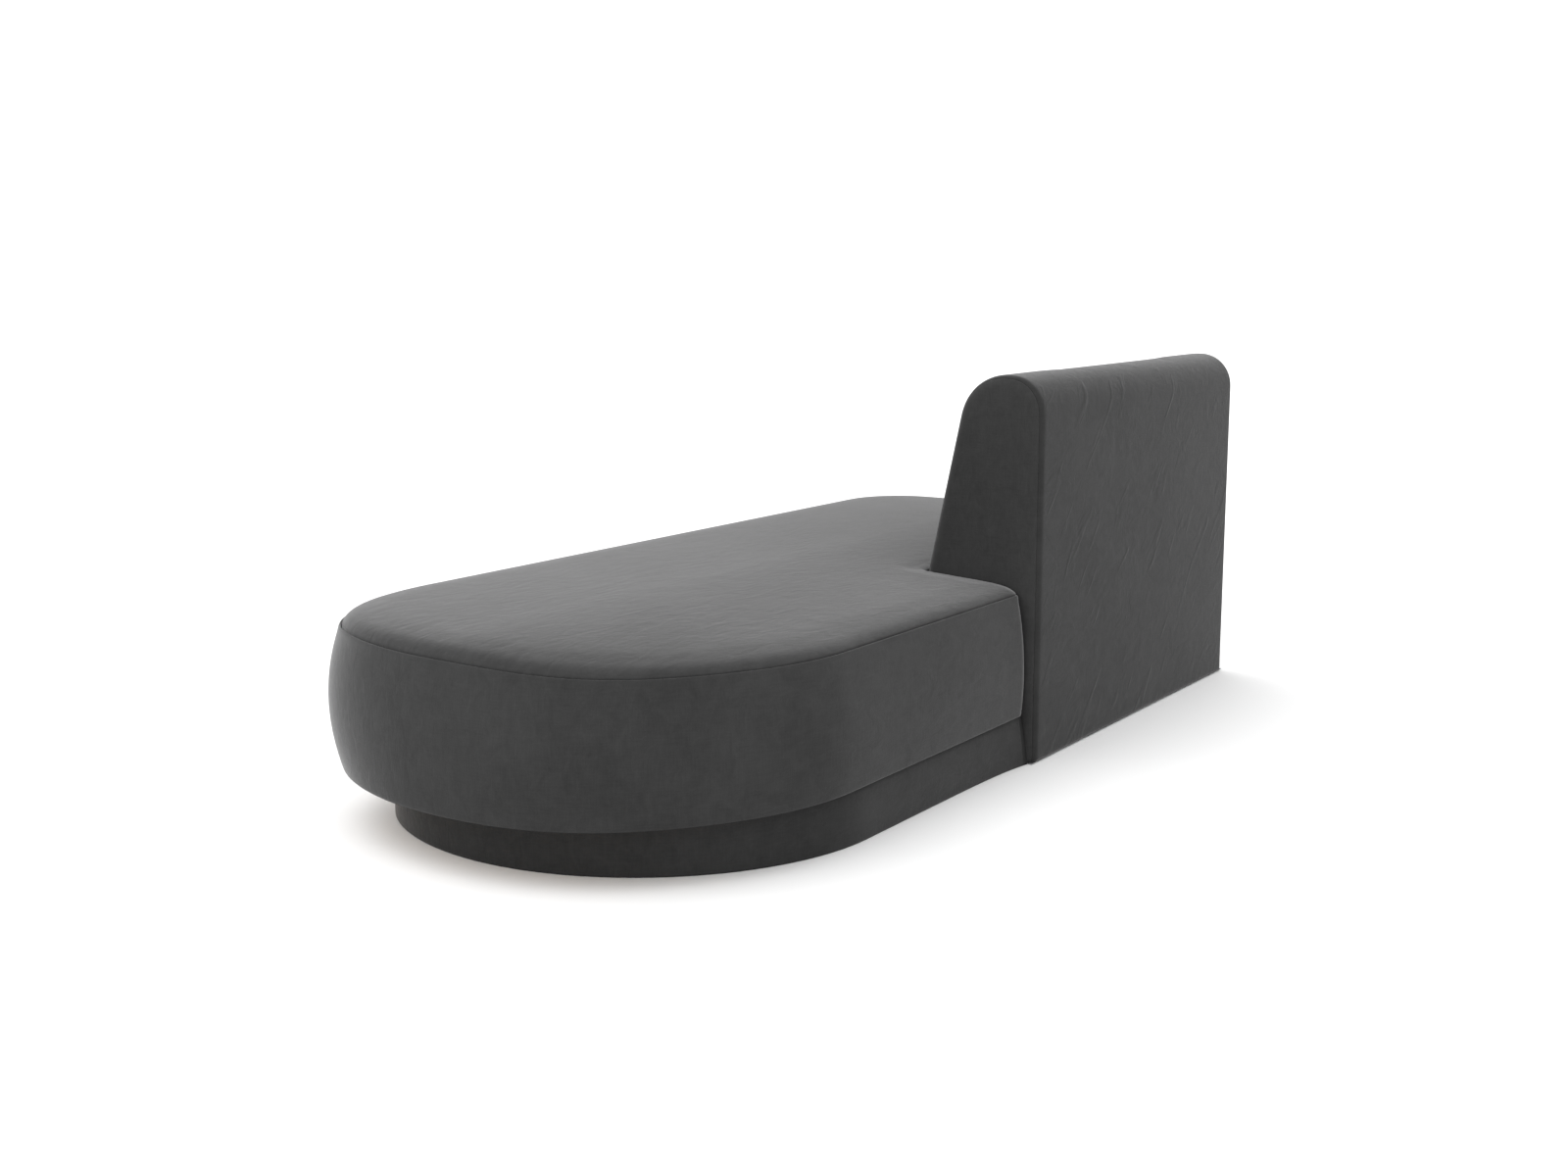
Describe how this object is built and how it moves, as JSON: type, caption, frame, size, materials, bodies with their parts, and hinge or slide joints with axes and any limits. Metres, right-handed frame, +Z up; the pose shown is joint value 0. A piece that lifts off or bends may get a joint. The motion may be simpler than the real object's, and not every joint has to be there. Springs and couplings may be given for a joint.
{
  "type": "daybed",
  "caption": "Low upholstered daybed with a half-round open end, a bulging side band over a recessed plinth, and a short leaning backrest that runs to the floor.",
  "frame": {"origin": "on the floor, at the middle of the overall length and of the overall depth", "axes": "+Z up; +Y towards the back, so the backrest is on the +Y side; +X along the length towards the half-round open end"},
  "size_m": [2.2396, 0.9999, 0.775],
  "materials": {
    "velvet_cover": "dark grey short-pile velvet, matt with a soft sheen at grazing angles",
    "dust_cloth": "black non-woven dust cloth",
    "wadding": "white polyester wadding",
    "foam": "cut polyurethane foam, open-celled and matt",
    "glide_plastic": "black moulded plastic",
    "zinc_steel": "zinc-plated steel",
    "elastic_webbing": "woven elastic webbing with ribbed edges",
    "hardboard": "brown hardboard, smooth on the outside",
    "plywood": "bare birch plywood",
    "pine": "planed bare pine"
  },
  "bodies": {
    "root": {"plinth_front_rail": "pine", "plinth_back_rail": "pine", "plinth_end_rail": "pine", "plinth_notch_rail": "pine", "plinth_round_wall": "plywood", "plinth_corner_wall": "plywood", "plinth_cross_rails": "pine", "plinth_corner_blocks": "pine", "plinth_screws": "zinc_steel", "plinth_cover": "velvet_cover", "plinth_dust_cover": "dust_cloth", "plinth_glides": "glide_plastic", "seat_base_panel": "plywood", "seat_front_rail": "pine", "seat_back_rail": "pine", "seat_end_rail": "pine", "seat_notch_rail": "pine", "seat_return_rail": "pine", "seat_round_wall": "plywood", "seat_corner_wall": "plywood", "seat_cross_rails": "pine", "seat_corner_blocks": "pine", "seat_frame_screws": "zinc_steel", "seat_webbing_across": "elastic_webbing", "seat_webbing_along": "elastic_webbing", "seat_webbing_staples": "zinc_steel", "seat_foam_round": "foam", "seat_foam_end": "foam", "boxing_foam_front": "foam", "boxing_foam_back": "foam", "boxing_foam_end": "foam", "boxing_foam_round": "foam", "boxing_foam_corner": "foam", "seat_wadding": "wadding", "seat_boxing": "velvet_cover", "seat_top_panel": "velvet_cover", "back_near_rib": "plywood", "back_far_rib": "plywood", "back_middle_ribs": "plywood", "back_top_rail": "pine", "back_ledge_rail": "pine", "back_joint_rail": "pine", "back_foot_rails": "pine", "back_rear_rail": "pine", "back_frame_screws": "zinc_steel", "back_board": "hardboard", "back_webbing": "elastic_webbing", "back_webbing_staples": "zinc_steel", "back_foam": "foam", "back_near_pad": "foam", "back_far_pad": "foam", "back_wadding": "wadding", "back_cover_wrap": "velvet_cover", "back_cover_near_side": "velvet_cover", "back_cover_far_side": "velvet_cover", "back_dust_cover": "dust_cloth", "back_glides": "glide_plastic", "join_bolts": "zinc_steel", "join_washers": "zinc_steel", "join_t_nuts": "zinc_steel"}
  },
  "joints": []
}
